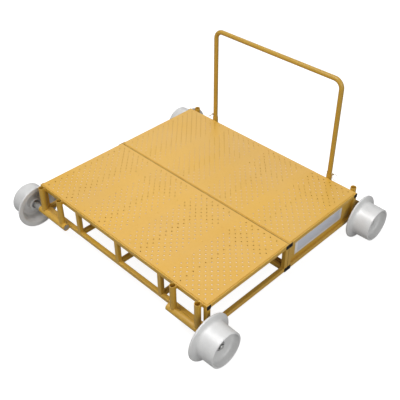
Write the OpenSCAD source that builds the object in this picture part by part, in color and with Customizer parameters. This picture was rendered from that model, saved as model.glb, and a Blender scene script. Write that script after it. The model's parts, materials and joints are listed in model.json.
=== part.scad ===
// Railway track trolley: two coupled box-frame modules of square tube with perforated
// decks, four flanged wheels on stub axles and an inverted-U push handle in tube sockets.
// Millimetres, +Z up. X runs along the wheel axles, Y along the track, z = 0 is the lowest
// point of the wheel flanges. "front" is the -Y module, "rear" the +Y module with the
// handle, "left" is -X and "right" is +X.

/* [Overall] */
// Length of one module across the track
module_len = 1328; // [900:1:1400]
// Width of one module along the track
module_w = 600; // [450:1:800]
// Deck surface above the bottom of the flanges
deck_h = 298; // [280:1:420]

/* [Frame] */
// Side of the square tube
tube = 25; // [20:1:40]
// Wall of the square tube
tube_wall = 2; // [1.5:0.1:3]
// Outer corner radius of the square tube
tube_r = 3; // [1:0.1:4]
// Bays along each module
bays = 4; // [3:1:5]
// Drop of the frame's underside below the wheel axles
frame_drop = 19; // [5:1:19]
// Length of a rail plug's head
plug_head = 3; // [2:0.5:8]
// Length of the part of a plug inside the tube
plug_insert = 18; // [10:1:30]
// Gap all round a plug inside the tube
plug_gap = 0.2; // [0.1:0.05:0.5]

/* [Deck] */
// Thickness of the deck sheet
deck_t = 3; // [2:0.1:5]
// Distance of the sheet's edge from the frame's outside
deck_inset = 8; // [4:1:12]
// Rows of deck screws along each cross tube
screw_rows = 3; // [2:1:5]
// Radius of a deck screw's shank
screw_r = 2.5; // [2:0.1:3]
// Length of a deck screw over all
screw_len = 14; // [10:1:20]
// Radius of a deck screw's countersunk head
screw_head_r = 4.75; // [4:0.05:5]
// Depth of the head's top below the deck surface
screw_sink = 0.1; // [0.05:0.05:0.4]
// Radius of the hexagon socket across its corners
screw_socket_r = 1.7; // [1.2:0.1:2]
// Gap all round a screw or bolt in its hole
hole_gap = 0.2; // [0.1:0.05:0.5]

/* [Axle tubes and sockets] */
// Outside diameter of an axle tube
axle_tube_d = 42.4; // [38:0.1:50]
// Wall of an axle tube
axle_tube_wall = 3.2; // [2.5:0.1:5]
// Distance an axle tube runs on past the inner socket
tube_tail = 20; // [10:0.5:60]
// Wall of a stake socket
socket_wall = 2.5; // [1.5:0.1:3]
// Radial play of a stake or handle leg in its socket
socket_play = 0.35; // [0.3:0.05:0.8]
// Thickness of the floor in a socket's foot
socket_floor = 3; // [2:0.5:5]
// Height of a stake socket's rim above the deck
socket_rise = 6; // [2:1:20]
// Height of a handle socket's rim above the deck
handle_socket_rise = 14; // [2:1:20]
// Distance of the outer sockets from the frame's end
socket_end = 40; // [25:1:60]
// Gap between a socket's coped foot and the axle tube
cope_gap = 0.15; // [0.1:0.05:0.5]
// Width of the saddle between a socket and the top rail
saddle_w = 20; // [12:1:24]
// Height of that saddle
saddle_h = 15; // [8:1:22]
// Distance of an axle lock screw from the frame's end
lock_end = 114; // [60:1:150]
// Radius of a lock screw's shank
lock_r = 4; // [3:0.5:5]
// Width across the flats of a lock screw's head
lock_af = 13; // [10:1:17]
// Height of a lock screw's head
lock_head = 5.3; // [4:0.1:8]

/* [Wheels] */
// Radius of the flange
flange_r = 132; // [110:1:160]
// Radius of the tread next to the flange
tread_r = 99; // [85:1:108]
// Width of a wheel over all
wheel_w = 121; // [100:1:140]
// Gap between the frame's end and the flange
wheel_gap = 27; // [20:1:50]
// Fall of the tread's radius towards the outside
tread_fall = 2; // [0:0.5:5]
// Radius of the opening in the flange face
recess_open_r = 106; // [95:1:110]
// Wall of the rim under the tread
rim_wall = 9; // [7:0.5:14]
// Thickness of the web
web_t = 12; // [8:1:18]
// Depth of the outer face's recess
dish = 40; // [25:1:48]
// Wall of the hub round its bearings
hub_wall = 11; // [7:0.5:14]
// Length of the hub
hub_len = 50; // [40:1:60]
// Height of the hub's end above the outer recess's floor
hub_proud = 2; // [0:0.5:10]

/* [Bearings and axles] */
// Outside diameter of a bearing
bearing_d = 52; // [47:1:62]
// Width of a bearing
bearing_w = 15; // [12:1:18]
// Diameter of the axle in the bearings
journal_d = 25; // [20:1:30]
// Running clearance of the journal, on the radius
journal_fit = 0.05; // [0.02:0.01:0.1]
// Gap between a bearing and its seat, on the radius
seat_gap = 0.02; // [0.01:0.01:0.05]
// Gap between the axle and its tube, on the radius
axle_gap = 0.3; // [0.2:0.05:0.6]
// Thickness of the retaining washer
washer_t = 2; // [1:0.5:3]
// Radius of the retaining washer
washer_r = 19; // [16:1:22]
// Thickness of the circlip
clip_t = 1.2; // [1:0.1:2]
// Width of the circlip's ring
clip_w = 4; // [3:0.5:5]
// Length of the axle's end past its circlip
axle_tail = 7; // [3:0.5:10]

/* [Handle] */
// Diameter of the handle tube
handle_d = 28; // [24:0.5:32]
// Wall of the handle tube
handle_wall = 2; // [1.5:0.1:3]
// Distance between the two legs, centre to centre
handle_pitch = 913; // [600:1:1000]
// Height of the top bar's centre above the deck
handle_rise = 610; // [400:1:900]
// Radius of the bends on the centre line
bend_r = 50; // [40:1:120]
// Gap between a leg's foot and its socket's floor
leg_gap = 1; // [0.5:0.5:10]
// Radius of a stop pin
pin_r = 4; // [3:0.5:5]
// Step from a stop pin to its collar
collar_step = 2; // [1:0.5:3]
// Gap between a stop pin's collar and the socket's rim
pin_gap = 1; // [0.5:0.1:3]
// Distance of the ring's eye from the leg's wall
eye_off = 11; // [10:1:20]
// Radius of the eye
eye_r = 5.5; // [5:0.5:6]
// Radius of the hole in the eye
eye_hole_r = 2; // [1.8:0.1:3]
// Width of the eye
eye_w = 6; // [5:0.5:9]
// Radius of the ring's wire
wire_r = 1.25; // [1:0.05:1.5]
// Gap between the hanging ring and the frame's side
ring_gap = 0.95; // [0.5:0.05:3]
// Lean of the ring out from the vertical
ring_lean = 45; // [0:1:60]

/* [Coupling, panel and plate] */
// Radius of a coupling bolt
bolt_r = 5; // [4:0.5:6]
// Width across the flats of a coupling bolt's head
bolt_af = 17; // [13:1:19]
// Height of a coupling bolt's head
bolt_head = 6.4; // [5:0.1:8]
// Height of a coupling nut
nut_h = 8; // [6:0.5:10]
// Thickness of the end panel
panel_t = 3; // [2:0.5:5]
// Recess of the end panel behind the frame's end
panel_recess = 15; // [8:1:18]
// Distance of the plate from the corner post beside the coupling
plate_inner = 47; // [20:1:120]
// Distance of the plate from the outer corner post
plate_outer = 88; // [20:1:120]
// Distance of the plate from the bottom rail
plate_below = 30; // [10:1:40]
// Distance of the plate from the top rail
plate_above = 14; // [5:1:20]
// Thickness of the plate
plate_t = 1; // [0.5:0.1:2]
// Thickness of the gusset at the rear right corner
gusset_t = 5; // [3:0.5:8]
// Reach of the gusset from the frame's side
gusset_reach = 55; // [45:1:60]
// Drop of the gusset's upper edge below the frame's top
gusset_drop = 50; // [30:1:70]

/* [Node] */
// Node to draw, or all

/* [Hidden] */
$fn = 96;
// cut past a face so that a hole runs clean through
past = 1;
half_len = module_len / 2;
pitch_x = module_len / bays;
top_z = deck_h - deck_t;
axle_z = flange_r;
top_rail_z = top_z - tube / 2;
bottom_rail_z = axle_z - frame_drop + tube / 2;
post_z0 = bottom_rail_z + tube / 2;
post_z1 = top_rail_z - tube / 2;
screw_cone = screw_head_r - screw_r;
axle_r = axle_tube_d / 2;
axle_y = module_w + axle_r;
handle_r = handle_d / 2;
socket_bore_r = handle_r + socket_play;
socket_r = socket_bore_r + socket_wall;
socket_floor_z = axle_z + axle_r + socket_floor;
inner_socket_x = handle_pitch / 2;
outer_socket_x = half_len - socket_end;
axle_tube_len = half_len - inner_socket_x + socket_r + tube_tail;
lock_x = half_len - lock_end;
wheel_x = half_len + wheel_gap;
body_r = axle_r - axle_tube_wall - axle_gap;
journal_r = journal_d / 2;
bearing_r = bearing_d / 2;
hub_r = bearing_r + hub_wall;
web_out = wheel_w - dish;
web_in = web_out - web_t;
hub_out = web_out + hub_proud;
hub_in = hub_out - hub_len;
shoulder_s = hub_in - 2;
washer_s = hub_out + 0.3;
clip_s = washer_s + washer_t + 0.3;
groove_r = journal_r - 0.8;
axle_end_s = clip_s + clip_t + axle_tail;
handle_z = deck_h + handle_rise;
collar_r = pin_r + collar_step;
pin_z = deck_h + handle_socket_rise + pin_gap + collar_r;
ring_r = axle_r - wire_r - ring_gap;
eye_x = handle_r + eye_off;
coupling_x = pitch_x * 1.5;

yellow = [0.86, 0.66, 0.30];
deck_yellow = [0.92, 0.74, 0.41];
black = [0.05, 0.05, 0.05];
cast_grey = [0.78, 0.79, 0.79];
steel = [0.62, 0.62, 0.62];

// hollow square tube section with rounded corners
module tube_section() {
  difference() {
    union() {
      square([tube - 2 * tube_r, tube], center = true);
      square([tube, tube - 2 * tube_r], center = true);
      for (sx = [-1, 1], sy = [-1, 1])
        translate([sx * (tube / 2 - tube_r), sy * (tube / 2 - tube_r)])
          circle(r = tube_r);
    }
    square(tube - 2 * tube_wall, center = true);
  }
}

// square tube along X, centred on x = 0
module tube_x(length, y, z) {
  translate([-length / 2, y, z])
    rotate([90, 0, 90])
      linear_extrude(height = length)
        tube_section();
}

// square tube along Y between the two long rails of the front module
module tube_y(x, z) {
  translate([x, -module_w + tube, z])
    rotate([-90, 0, 0])
      linear_extrude(height = module_w - 2 * tube)
        tube_section();
}

// upright square tube between the bottom and top rails
module tube_z(x, y) {
  translate([x, y, post_z0])
    linear_extrude(height = post_z1 - post_z0)
      tube_section();
}

// cylinder along X from x0 to x1
module rod_x(r, x0, x1, y, z) {
  translate([x0, y, z])
    rotate([0, 90, 0])
      cylinder(r = r, h = x1 - x0);
}

// places its child on the two long rails, outer and inner
module at_long_rails() {
  for (y = [-module_w + tube / 2, -tube / 2])
    translate([0, y, 0])
      children();
}

// positions of the cross tubes along X
function cross_x() = [for (i = [1:bays - 1]) -half_len + i * pitch_x];

// screw positions along one cross tube
function screw_y() = [for (i = [1:screw_rows]) -module_w + i * module_w / (screw_rows + 1)];

// coupling bolt holes through the inner rails at height z
module coupling_holes(z) {
  for (sx = [-1, 1])
    translate([sx * coupling_x, past, z])
      rotate([90, 0, 0])
        cylinder(r = bolt_r + hole_gap, h = tube + 2 * past);
}

module long_rails(z) {
  difference() {
    at_long_rails()
      tube_x(module_len, 0, z);
    coupling_holes(z);
  }
}

module end_rails() {
  for (sx = [-1, 1], z = [bottom_rail_z, top_rail_z])
    tube_y(sx * (half_len - tube / 2), z);
}

module corner_posts() {
  for (sx = [-1, 1])
    at_long_rails()
      tube_z(sx * (half_len - tube / 2), 0);
}

module mid_posts() {
  for (x = cross_x())
    tube_z(x, -module_w + tube / 2);
}

// countersunk screw on +Z with its head's top at z = 0, wider all round by a gap
module screw_body(gap) {
  translate([0, 0, -screw_len])
    cylinder(r = screw_r + gap, h = screw_len);
  translate([0, 0, -screw_cone])
    cylinder(r1 = screw_r + gap, r2 = screw_head_r + gap, h = screw_cone);
}

// places its child at each deck screw, at the height of the head's top
module at_screws() {
  for (x = cross_x(), y = screw_y())
    translate([x, y, deck_h - screw_sink])
      children();
}

module screw_holes() {
  at_screws() {
    screw_body(hole_gap);
    cylinder(r = screw_head_r + hole_gap, h = screw_sink + past);
  }
}

module top_cross_tubes() {
  difference() {
    for (x = cross_x())
      tube_y(x, top_rail_z);
    screw_holes();
  }
}

module bottom_cross_tubes() {
  for (x = cross_x())
    tube_y(x, bottom_rail_z);
}

module deck_sheet() {
  difference() {
    translate([-half_len + deck_inset, -module_w + deck_inset, top_z])
      cube([module_len - 2 * deck_inset, module_w - 2 * deck_inset, deck_t]);
    screw_holes();
  }
}

module deck_screws() {
  at_screws()
    difference() {
      screw_body(0);
      translate([0, 0, -screw_cone + 0.5])
        cylinder(r = screw_socket_r, h = screw_cone + past, $fn = 6);
    }
}

// rail plug with its head standing out along +X
module rail_plug() {
  insert = tube - 2 * tube_wall - 2 * plug_gap;
  union() {
    rotate([90, 0, 90])
      linear_extrude(height = plug_head)
        union() {
          square([tube - 2 * tube_r, tube], center = true);
          square([tube, tube - 2 * tube_r], center = true);
          for (sx = [-1, 1], sy = [-1, 1])
            translate([sx * (tube / 2 - tube_r), sy * (tube / 2 - tube_r)])
              circle(r = tube_r);
        }
    translate([-plug_insert, -insert / 2, -insert / 2])
      cube([plug_insert + past, insert, insert]);
  }
}

module rail_plugs() {
  for (z = [bottom_rail_z, top_rail_z])
    at_long_rails()
      translate([0, 0, z]) {
        translate([half_len, 0, 0])
          rail_plug();
        translate([-half_len, 0, 0])
          rotate([0, 0, 180])
            rail_plug();
      }
}

// hangs its child under the axle at a lock screw, with +Z along the screw
module at_lock(sx) {
  translate([sx * lock_x, -axle_y, axle_z])
    rotate([180, 0, 0])
      children();
}

module axle_tubes() {
  for (sx = [-1, 1])
    difference() {
      translate([sx > 0 ? half_len - axle_tube_len : -half_len, -axle_y, axle_z])
        rotate([0, 90, 0])
          difference() {
            cylinder(r = axle_r, h = axle_tube_len);
            translate([0, 0, -past])
              cylinder(r = axle_r - axle_tube_wall, h = axle_tube_len + 2 * past);
          }
      at_lock(sx)
        cylinder(r = lock_r + hole_gap, h = axle_r + past);
    }
}

module lock_screws() {
  for (sx = [-1, 1])
    at_lock(sx) {
      translate([0, 0, body_r + 0.1])
        cylinder(r = lock_r, h = axle_r - body_r + past);
      translate([0, 0, axle_r + 0.1])
        cylinder(d = lock_af / cos(30), h = lock_head, $fn = 6);
    }
}

// tube socket with a closed foot coped over the axle tube
module stake_socket(x, rise) {
  difference() {
    translate([x, -axle_y, axle_z])
      cylinder(r = socket_r, h = deck_h + rise - axle_z);
    translate([x, -axle_y, socket_floor_z])
      cylinder(r = socket_bore_r, h = deck_h + rise - socket_floor_z + past);
    rod_x(axle_r + cope_gap, x - 2 * socket_r, x + 2 * socket_r, -axle_y, axle_z);
  }
}

module inner_sockets(rise) {
  for (sx = [-1, 1])
    stake_socket(sx * inner_socket_x, rise);
}

module outer_sockets() {
  for (sx = [-1, 1])
    stake_socket(sx * outer_socket_x, socket_rise);
}

module socket_saddles() {
  reach = axle_y - module_w - sqrt(socket_r * socket_r - saddle_w * saddle_w / 4);
  for (x = [-outer_socket_x, -inner_socket_x, inner_socket_x, outer_socket_x])
    difference() {
      translate([x - saddle_w / 2, -module_w - reach, top_rail_z - saddle_h / 2])
        cube([saddle_w, reach, saddle_h]);
      translate([x, -axle_y, top_rail_z - saddle_h])
        cylinder(r = socket_r + 0.05, h = 2 * saddle_h);
    }
}

// half section of a wheel: radius, distance outwards from the flange face
module wheel_section() {
  tread_out = tread_r - tread_fall;
  rim_in = tread_out - rim_wall;
  flange_h = flange_r - tread_r;
  difference() {
    polygon([
      [journal_r, 0], [flange_r - 5, 0], [flange_r - 1.5, 1.5], [flange_r, 4.5],
      [flange_r, 7], [tread_r + flange_h * 0.94, 10.5], [tread_r + flange_h * 0.84, 12],
      [tread_r + flange_h * 0.27, 15.5], [tread_r + flange_h * 0.12, 18],
      [tread_r + flange_h * 0.03, 22], [tread_r, 28],
      [tread_out, wheel_w - 4], [tread_out - 4, wheel_w], [journal_r, wheel_w]
    ]);
    // inner recess round the hub
    polygon([
      [hub_r, -past], [recess_open_r + 1, -past], [rim_in + 3, 16], [rim_in, 26],
      [rim_in - 1, web_in - 8], [rim_in - 4, web_in - 2], [rim_in - 10, web_in],
      [hub_r + 6, web_in], [hub_r, web_in - 6]
    ]);
    // outer recess down to the web
    polygon([
      [hub_r, wheel_w + past], [rim_in + 2, wheel_w + past], [rim_in, wheel_w - 3],
      [rim_in - 1, web_out + 14], [rim_in - 5, web_out + 5], [rim_in - 15, web_out],
      [hub_r + 3, web_out], [hub_r, hub_out]
    ]);
    // space in front of and behind the hub
    translate([0, -past])
      square([hub_r + past, hub_in + past]);
    translate([0, hub_out])
      square([hub_r + past, wheel_w - hub_out + past]);
    // bearing seats and the bore between them
    square([bearing_r + seat_gap, hub_in + bearing_w]);
    translate([0, hub_out - bearing_w])
      square([bearing_r + seat_gap, bearing_w + past]);
    square([bearing_r - 4, wheel_w]);
  }
}

// stands a piece built round Z on a wheel's axis, +Z outwards from the flange face
module at_wheel(sx, sy) {
  translate([sx * wheel_x, sy * axle_y, axle_z])
    rotate([0, 90 * sx, 0])
      children();
}

module wheel(sx, sy) {
  at_wheel(sx, sy)
    rotate_extrude()
      wheel_section();
}

module bearing() {
  difference() {
    cylinder(r = bearing_r, h = bearing_w);
    translate([0, 0, -past])
      cylinder(r = journal_r + journal_fit, h = bearing_w + 2 * past);
    for (z = [-past, bearing_w - 1])
      translate([0, 0, z])
        difference() {
          cylinder(r = bearing_r - 4, h = 1 + past);
          translate([0, 0, -past])
            cylinder(r = journal_r + 4, h = 1 + 3 * past);
        }
  }
}

module bearings(sx, sy) {
  at_wheel(sx, sy) {
    translate([0, 0, hub_in])
      bearing();
    translate([0, 0, hub_out - bearing_w])
      bearing();
  }
}

// stub axle: body in the axle tube, journal in the bearings, circlip groove near its end
module axle(sx, sy) {
  body_len = wheel_gap + axle_tube_len - 3 + shoulder_s;
  at_wheel(sx, sy)
    difference() {
      union() {
        translate([0, 0, shoulder_s - body_len])
          cylinder(r = body_r, h = body_len);
        cylinder(r = journal_r, h = axle_end_s - 1.5);
        translate([0, 0, axle_end_s - 1.5])
          cylinder(r1 = journal_r, r2 = journal_r - 1.5, h = 1.5);
      }
      translate([0, 0, clip_s - 0.2])
        difference() {
          cylinder(r = journal_r + past, h = clip_t + 0.4);
          translate([0, 0, -past])
            cylinder(r = groove_r, h = clip_t + 0.4 + 2 * past);
        }
    }
}

module axle_washers() {
  for (sx = [-1, 1], sy = [-1, 1])
    at_wheel(sx, sy)
      translate([0, 0, washer_s])
        difference() {
          cylinder(r = washer_r, h = washer_t);
          translate([0, 0, -past])
            cylinder(r = journal_r + 0.2, h = washer_t + 2 * past);
        }
}

module axle_circlips() {
  for (sx = [-1, 1], sy = [-1, 1])
    at_wheel(sx, sy)
      translate([0, 0, clip_s])
        difference() {
          cylinder(r = groove_r + 0.1 + clip_w, h = clip_t);
          translate([0, 0, -past])
            cylinder(r = groove_r + 0.1, h = clip_t + 2 * past);
          translate([0, -clip_w, -past])
            cube([journal_d, 2 * clip_w, clip_t + 2 * past]);
        }
}

// solid sweep of the handle's centre line at radius r, legs reaching down by extra
module handle_sweep(r, extra) {
  leg_foot = socket_floor_z + leg_gap - extra;
  half = handle_pitch / 2;
  for (side = [0, 1])
    mirror([side, 0, 0]) {
      translate([-half, axle_y, leg_foot])
        cylinder(r = r, h = handle_z - bend_r - leg_foot);
      translate([-half + bend_r, axle_y, handle_z - bend_r])
        rotate([90, 0, 0])
          rotate([0, 0, 90])
            rotate_extrude(angle = 90)
              translate([bend_r, 0])
                circle(r = r);
    }
  rod_x(r, -half + bend_r, half - bend_r, axle_y, handle_z);
}

module handle_tube() {
  difference() {
    handle_sweep(handle_r, 0);
    handle_sweep(handle_r - handle_wall, past);
    for (sx = [-1, 1])
      rod_x(pin_r + hole_gap, sx * handle_pitch / 2 - handle_d, sx * handle_pitch / 2 + handle_d,
        axle_y, pin_z);
  }
}

// stands its child on a leg's axis at the pin's height, with +X away from the trolley's middle
module at_pin(sx) {
  translate([sx * handle_pitch / 2, axle_y, pin_z])
    rotate([0, 0, sx > 0 ? 0 : 180])
      children();
}

module stop_pin() {
  difference() {
    union() {
      rod_x(pin_r, -handle_r - 6, eye_x, 0, 0);
      rod_x(collar_r, handle_r + 0.5, handle_r + 3.5, 0, 0);
      translate([eye_x, eye_w / 2, 0])
        rotate([90, 0, 0])
          cylinder(r = eye_r, h = eye_w);
    }
    translate([eye_x, eye_w, 0])
      rotate([90, 0, 0])
        cylinder(r = eye_hole_r, h = 2 * eye_w);
  }
}

// ring threaded through the eye, leaning outwards
module pin_ring() {
  translate([eye_x, 0, 0])
    rotate([0, -ring_lean, 0])
      translate([0, 0, -ring_r])
        rotate([0, 90, 0])
          rotate_extrude()
            translate([ring_r, 0])
              circle(r = wire_r);
}

module coupling_bolts_all() {
  for (sx = [-1, 1], z = [bottom_rail_z, top_rail_z])
    translate([sx * coupling_x, -tube, z])
      rotate([-90, 0, 0]) {
        translate([0, 0, -bolt_head])
          cylinder(d = bolt_af / cos(30), h = bolt_head, $fn = 6);
        translate([0, 0, -past])
          cylinder(r = bolt_r, h = 2 * tube + nut_h + 3 + past);
      }
}

module coupling_nuts_all() {
  for (sx = [-1, 1], z = [bottom_rail_z, top_rail_z])
    translate([sx * coupling_x, tube, z])
      rotate([-90, 0, 0])
        difference() {
          cylinder(d = bolt_af / cos(30), h = nut_h, $fn = 6);
          translate([0, 0, -past])
            cylinder(r = bolt_r + hole_gap, h = nut_h + 2 * past);
        }
}

module end_panel_sheet() {
  translate([half_len - panel_recess - panel_t, tube, post_z0])
    cube([panel_t, module_w - 2 * tube, post_z1 - post_z0]);
}

module plate() {
  plate_y1 = module_w - tube - plate_outer;
  translate([half_len - panel_recess, tube + plate_inner, post_z0 + plate_below])
    cube([plate_t, plate_y1 - tube - plate_inner, post_z1 - post_z0 - plate_below - plate_above]);
}

// corner plate over the axle tube, on the frame's rear right corner
module gusset() {
  rise = top_z - gusset_drop - axle_z;
  difference() {
    translate([half_len - gusset_t, module_w, axle_z])
      rotate([90, 0, 90])
        linear_extrude(height = gusset_t)
          polygon([
            [0, 0], [0, rise], [3, rise], [gusset_reach, rise * 0.62],
            [gusset_reach, rise * 0.37], [axle_r + 18, 12], [axle_r, 0]
          ]);
    rod_x(axle_r + cope_gap, half_len - gusset_t - past, half_len + past, axle_y, axle_z);
    translate([half_len - gusset_t - past, module_w - past, axle_z - past])
      cube([gusset_t + 2 * past, axle_r + past, axle_r + past]);
  }
}

module rear() {
  rotate([0, 0, 180])
    children();
}

module front_top_rails() { color(yellow) long_rails(top_rail_z); }
module front_bottom_rails() { color(yellow) long_rails(bottom_rail_z); }
module front_end_rails() { color(yellow) end_rails(); }
module front_corner_posts() { color(yellow) corner_posts(); }
module front_mid_posts() { color(yellow) mid_posts(); }
module front_top_cross_tubes() { color(yellow) top_cross_tubes(); }
module front_bottom_cross_tubes() { color(yellow) bottom_cross_tubes(); }
module front_deck_sheet() { color(deck_yellow) deck_sheet(); }
module front_deck_screws() { color(black) deck_screws(); }
module front_rail_plugs() { color(black) rail_plugs(); }
module front_axle_tubes() { color(yellow) axle_tubes(); }
module front_stake_sockets() { color(yellow) { inner_sockets(socket_rise); outer_sockets(); } }
module front_socket_saddles() { color(yellow) socket_saddles(); }
module front_lock_screws() { color(black) lock_screws(); }
module rear_top_rails() { color(yellow) rear() long_rails(top_rail_z); }
module rear_bottom_rails() { color(yellow) rear() long_rails(bottom_rail_z); }
module rear_end_rails() { color(yellow) rear() end_rails(); }
module rear_corner_posts() { color(yellow) rear() corner_posts(); }
module rear_mid_posts() { color(yellow) rear() mid_posts(); }
module rear_top_cross_tubes() { color(yellow) rear() top_cross_tubes(); }
module rear_bottom_cross_tubes() { color(yellow) rear() bottom_cross_tubes(); }
module rear_deck_sheet() { color(deck_yellow) rear() deck_sheet(); }
module rear_deck_screws() { color(black) rear() deck_screws(); }
module rear_rail_plugs() { color(black) rear() rail_plugs(); }
module rear_axle_tubes() { color(yellow) rear() axle_tubes(); }
module rear_stake_sockets() { color(yellow) rear() outer_sockets(); }
module handle_sockets() { color(yellow) rear() inner_sockets(handle_socket_rise); }
module rear_socket_saddles() { color(yellow) rear() socket_saddles(); }
module rear_lock_screws() { color(black) rear() lock_screws(); }
module coupling_bolts() { color(steel) coupling_bolts_all(); }
module coupling_nuts() { color(steel) coupling_nuts_all(); }
module end_panel() { color(yellow) end_panel_sheet(); }
module blank_plate() { color(cast_grey) plate(); }
module corner_gusset() { color(yellow) gusset(); }
module handle() { color(yellow) handle_tube(); }
module left_stop_pin() { color(steel) at_pin(-1) stop_pin(); }
module right_stop_pin() { color(steel) at_pin(1) stop_pin(); }
module left_pin_ring() { color(steel) at_pin(-1) pin_ring(); }
module right_pin_ring() { color(steel) at_pin(1) pin_ring(); }
module front_left_wheel() { color(cast_grey) wheel(-1, -1); }
module front_right_wheel() { color(cast_grey) wheel(1, -1); }
module rear_left_wheel() { color(cast_grey) wheel(-1, 1); }
module rear_right_wheel() { color(cast_grey) wheel(1, 1); }
module front_left_bearings() { color(steel) bearings(-1, -1); }
module front_right_bearings() { color(steel) bearings(1, -1); }
module rear_left_bearings() { color(steel) bearings(-1, 1); }
module rear_right_bearings() { color(steel) bearings(1, 1); }
module front_left_axle() { color(steel) axle(-1, -1); }
module front_right_axle() { color(steel) axle(1, -1); }
module rear_left_axle() { color(steel) axle(-1, 1); }
module rear_right_axle() { color(steel) axle(1, 1); }
module axle_washers_set() { color(steel) axle_washers(); }
module axle_circlips_set() { color(black) axle_circlips(); }

front_top_rails();
front_bottom_rails();
front_end_rails();
front_corner_posts();
front_mid_posts();
front_top_cross_tubes();
front_bottom_cross_tubes();
front_deck_sheet();
front_deck_screws();
front_rail_plugs();
front_axle_tubes();
front_stake_sockets();
front_socket_saddles();
front_lock_screws();
rear_top_rails();
rear_bottom_rails();
rear_end_rails();
rear_corner_posts();
rear_mid_posts();
rear_top_cross_tubes();
rear_bottom_cross_tubes();
rear_deck_sheet();
rear_deck_screws();
rear_rail_plugs();
rear_axle_tubes();
rear_stake_sockets();
handle_sockets();
rear_socket_saddles();
rear_lock_screws();
coupling_bolts();
coupling_nuts();
end_panel();
blank_plate();
corner_gusset();
handle();
left_stop_pin();
right_stop_pin();
left_pin_ring();
right_pin_ring();
front_left_wheel();
front_right_wheel();
rear_left_wheel();
rear_right_wheel();
front_left_bearings();
front_right_bearings();
rear_left_bearings();
rear_right_bearings();
front_left_axle();
front_right_axle();
rear_left_axle();
rear_right_axle();
axle_washers_set();  // axle_washers
axle_circlips_set();  // axle_circlips
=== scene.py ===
"""Looks of a railway track trolley: two coupled tube-frame modules with perforated decks,
four flanged wheels, a push handle in tube sockets. Metres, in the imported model's frame."""
import json
import math

import bmesh
import bpy
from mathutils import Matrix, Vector


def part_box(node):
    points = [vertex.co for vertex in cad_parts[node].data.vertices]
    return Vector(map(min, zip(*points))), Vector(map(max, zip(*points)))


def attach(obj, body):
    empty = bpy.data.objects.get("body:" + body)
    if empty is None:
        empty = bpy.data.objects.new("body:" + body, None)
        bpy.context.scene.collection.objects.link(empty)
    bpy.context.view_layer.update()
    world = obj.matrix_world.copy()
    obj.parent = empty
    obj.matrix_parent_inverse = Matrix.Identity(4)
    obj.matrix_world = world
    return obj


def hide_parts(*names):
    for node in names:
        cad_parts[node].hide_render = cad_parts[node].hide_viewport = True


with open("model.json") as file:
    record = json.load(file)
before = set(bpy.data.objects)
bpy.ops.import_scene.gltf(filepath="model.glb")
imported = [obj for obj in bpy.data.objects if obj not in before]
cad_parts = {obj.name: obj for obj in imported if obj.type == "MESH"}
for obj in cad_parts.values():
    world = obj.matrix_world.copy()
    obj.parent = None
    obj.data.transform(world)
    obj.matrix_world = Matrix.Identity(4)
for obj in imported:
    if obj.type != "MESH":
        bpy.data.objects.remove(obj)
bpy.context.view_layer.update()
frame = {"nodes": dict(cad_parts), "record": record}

# ---------------------------------------------------------------- sizes from the frame
MM = 0.001
rails_low, rails_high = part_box("front_top_rails")
bottom_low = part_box("front_bottom_rails")[0]
sheet_low, sheet_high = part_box("front_deck_sheet")
post_low, post_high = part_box("front_corner_posts")
wheel_low, wheel_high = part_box("front_right_wheel")
tube_low, tube_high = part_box("front_axle_tubes")
socket_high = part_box("front_stake_sockets")[1]
handle_low, handle_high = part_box("handle")
panel_low, panel_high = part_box("end_panel")
plate_low, plate_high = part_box("blank_plate")

TUBE = rails_high.z - rails_low.z
HALF_LENGTH = rails_high.x
MODULE_WIDTH = -rails_low.y
DECK_TOP = sheet_high.z
DECK_THICKNESS = sheet_high.z - sheet_low.z
BAYS = 4
PITCH = 2 * HALF_LENGTH / BAYS
AXLE_Z = (wheel_low.z + wheel_high.z) / 2
AXLE_Y = -(wheel_low.y + wheel_high.y) / 2
WHEEL_X = wheel_low.x
WHEEL_WIDTH = wheel_high.x - wheel_low.x
FLANGE_R = (wheel_high.z - wheel_low.z) / 2
AXLE_TUBE_R = (tube_high.z - tube_low.z) / 2
AXLE_TUBE_LENGTH = 244.35 * MM
SOCKET_R = 16.85 * MM
HANDLE_R = (handle_high.y - handle_low.y) / 2
HANDLE_X = handle_high.x - HANDLE_R
HANDLE_Z = handle_high.z - HANDLE_R
HANDLE_FOOT = handle_low.z
HANDLE_WALL = 2 * MM
BEND_R = 50 * MM
TUBE_WALL = 2 * MM
TUBE_CORNER = 3 * MM
TOP_RAIL_Z = rails_high.z - TUBE / 2
BOTTOM_RAIL_Z = bottom_low.z + TUBE / 2
POST_LOW = post_low.z
POST_HIGH = post_high.z
END_X = HALF_LENGTH - TUBE / 2
CROSS_X = [-HALF_LENGTH + PITCH * i for i in range(1, BAYS)]
SCREW_Y = [-MODULE_WIDTH * (1 - i / 4) for i in (1, 2, 3)]
INNER_SOCKET_X = HANDLE_X
OUTER_SOCKET_X = socket_high.x - SOCKET_R
WHEELS = {
    "front_left": (-1, -1),
    "front_right": (1, -1),
    "rear_left": (-1, 1),
    "rear_right": (1, 1),
}


# ---------------------------------------------------------------- modelling helpers
def take_all():
    bpy.ops.mesh.select_all(action="SELECT")


def deselect():
    if bpy.context.object and bpy.context.object.mode != "OBJECT":
        bpy.ops.object.mode_set(mode="OBJECT")
    bpy.ops.object.select_all(action="DESELECT")


def activate(obj):
    deselect()
    obj.select_set(True)
    bpy.context.view_layer.objects.active = obj


def edit(obj):
    activate(obj)
    bpy.ops.object.mode_set(mode="EDIT")
    bpy.ops.mesh.select_all(action="DESELECT")


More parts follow.
